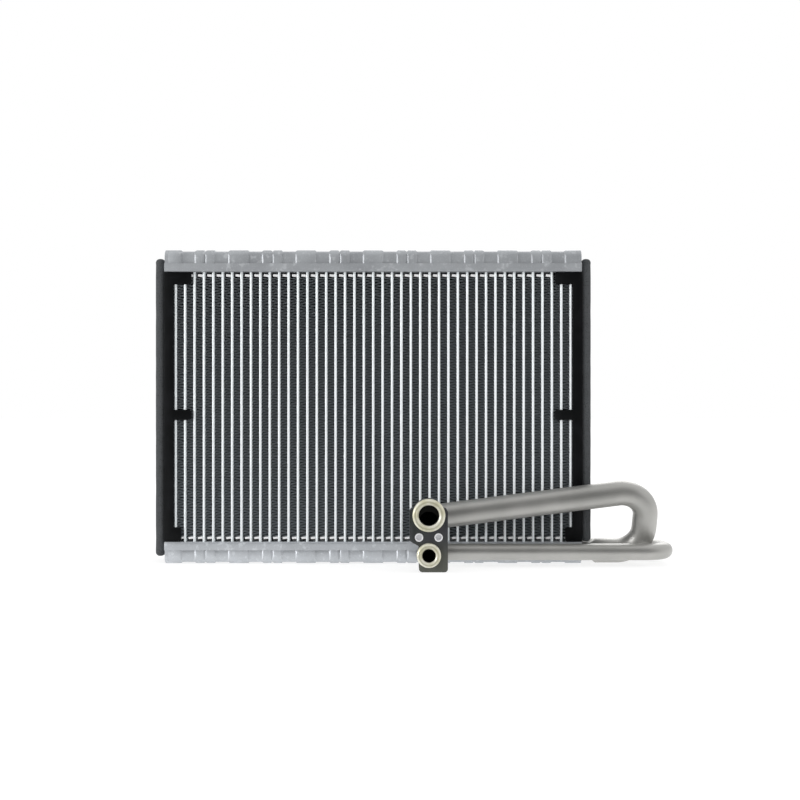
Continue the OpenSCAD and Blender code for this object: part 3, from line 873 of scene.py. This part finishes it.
# %% [markdown]
# The floor
#
# The photograph is cut out on pure white. Enough light to make a floor white would wash out
# the metal, so the floor shines by itself, but only to the camera and in reflections. A little
# lit grey on top brings it up to white and keeps a faint shadow under the tank. In reflections
# the white fades out under the pipes and ends 0.2 m in front of the core, as a sheet of paper
# on a darker table would. That draws the dark band along the front of the pipes. For all other
# light the floor is pale paper.

# %% Floor
FLOOR_SIZE = 12
WHITE_TO_CAMERA = 0.78
SHEET_FADE = (-0.2, -0.04)  # the Y where the sheet starts to show in reflections, and is full
SHEET_LEVELS = (0.15, 1.0)
LIT_GREY = (0.34, 0.34, 0.34)
PALE_PAPER = (0.8, 0.8, 0.8)
clear()
bpy.ops.mesh.primitive_plane_add(size=FLOOR_SIZE)
floor = bpy.context.object
floor.name = "floor"
floor_finish = bpy.data.materials.new("floor_white")
floor_finish.use_nodes = True
paper = Tree(floor_finish.node_tree)
paper.tree.nodes.remove(paper.tree.nodes["Principled BSDF"])
seen, mirrored = paper.is_ray("Camera"), paper.is_ray("Glossy")
sheet = paper.soft_step(paper.along("Y"), *SHEET_FADE, *SHEET_LEVELS)
shine = paper.add("ShaderNodeEmission", {}, Strength=paper.mix(mirrored, WHITE_TO_CAMERA, sheet))
lit = paper.add("ShaderNodeBsdfDiffuse", {}, LIT_GREY)
pale = paper.add("ShaderNodeBsdfDiffuse", {}, PALE_PAPER)
white = paper.add("ShaderNodeAddShader", {}, shine, lit)
surface = paper.add("ShaderNodeMixShader", {}, seen.at_least(mirrored), pale, white)
paper.plug(paper.tree.nodes["Material Output"].inputs["Surface"], surface)
floor.data.materials.append(floor_finish)
print("Floor:", FLOOR_SIZE, "m, white sheet fading over Y", SHEET_FADE)

# %% [markdown]
# The room
#
# The photographer's side of a studio is darker than the white walls round the object. Metal
# shows that, and a room that is white all round makes it look like plaster. A photograph of a
# studio could be wrapped round the scene, but one soft patch does the same: reflections see
# white except in front, a little to the right and upwards. The camera sees pure white, and all
# other rays get an even, ordinary light.

# %% World
DARK_SIDE = Vector((0.17, -0.95, 0.2)).normalized()
DARK_FADE = (0.45, 0.93)  # the cosines of the angle from the dark side where it starts and is full
DARK_LEVEL = 0.05
WHITE_LEVEL = 1.0
ROOM_LIGHT = 0.76
world = bpy.data.worlds.new("studio")
bpy.context.scene.world = world
world.use_nodes = True
room = Tree(world.node_tree, coordinates="Generated")
facing = room.add("ShaderNodeVectorMath", {"operation": "DOT_PRODUCT"}, room.place, DARK_SIDE,
                  output="Value")
patch = room.soft_step(facing, *DARK_FADE, WHITE_LEVEL, DARK_LEVEL)
unseen = room.mix(room.is_ray("Glossy"), ROOM_LIGHT, patch)
background = room.tree.nodes["Background"]
room.plug(background.inputs["Color"], (1, 1, 1))
room.plug(background.inputs["Strength"], room.mix(room.is_ray("Camera"), unseen, WHITE_LEVEL))
print("Room: light", ROOM_LIGHT, "and a patch of", DARK_LEVEL, "in reflections")

# %% [markdown]
# The lamps
#
# Even light alone leaves stamped sheet flat. A softbox stands on the left, only a little
# higher than the core, so that the left edge of every rib shines, as in the photograph. A
# weaker one on the right lifts the shadows. It is kept out of reflections, where it would put
# a second streak on the pipes' bends. The third lamp is for the rear face.

# %% Lamps
AIM = Vector((0, 0, 0.1))


def soft_lamp(name, place, size, power, reflected=True):
    """A square softbox that is turned to the middle of the core."""
    lamp = bpy.data.objects.new(name, bpy.data.lights.new(name, "AREA"))
    bpy.context.scene.collection.objects.link(lamp)
    lamp.location = place
    lamp.rotation_euler = (AIM - Vector(place)).to_track_quat("-Z", "Y").to_euler()
    lamp.data.size = size
    lamp.data.energy = power
    lamp.visible_glossy = reflected
    print(name, place, power, "W")


soft_lamp("key_lamp", (-1.62, -0.6, 0.34), size=0.6, power=13)
soft_lamp("fill_lamp", (1.5, -0.5, 0.5), size=0.8, power=6, reflected=False)
soft_lamp("back_lamp", (0.6, 1.5, 1.0), size=1.2, power=10)
